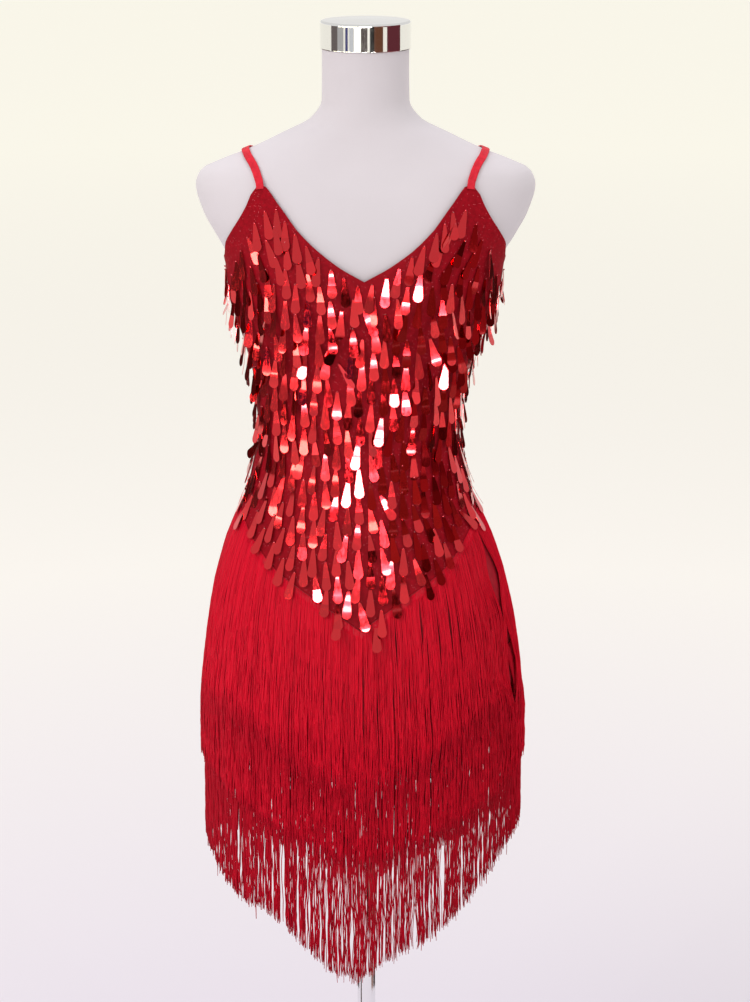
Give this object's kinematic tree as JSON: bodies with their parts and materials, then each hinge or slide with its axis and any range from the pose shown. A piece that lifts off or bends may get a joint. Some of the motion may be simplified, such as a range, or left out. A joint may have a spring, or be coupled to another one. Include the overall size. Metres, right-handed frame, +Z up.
{
  "type": "fringed sequin dress on dress form",
  "caption": "Short flapper dress with thin straps, a V-pointed bodice covered in drop sequins and long two-tier fringe, worn by a limbless dress form on a pole and round base.",
  "frame": {"origin": "centre of the stand's underside, on the floor", "axes": "+Z up the pole to the neck cap, -Y the front of the dress, +X the wearer's left"},
  "size_m": [0.3816, 0.3, 1.5],
  "materials": {
    "form_cloth": "stretched off-white jersey cover",
    "chrome": "polished",
    "base_paint": "satin",
    "bodice_cloth": "stretch knit with fine glitter",
    "strap_cloth": "satin knit binding",
    "skirt_cloth": "stretch knit",
    "fringe_yarn": "shiny rayon yarn",
    "sequin_foil": "polished foil, drop shaped",
    "bead": "small glass bead and stitch"
  },
  "bodies": {
    "root": {"form_torso": "form_cloth", "form_neck_cap": "chrome", "stand_pole": "chrome", "stand_base": "base_paint", "bodice_front": "bodice_cloth", "bodice_back": "bodice_cloth", "strap_right": "strap_cloth", "strap_left": "strap_cloth", "underskirt_front": "skirt_cloth", "underskirt_back": "skirt_cloth", "fringe_upper_front": "fringe_yarn", "fringe_upper_back": "fringe_yarn", "fringe_lower_front": "fringe_yarn", "fringe_lower_back": "fringe_yarn"}
  },
  "joints": []
}
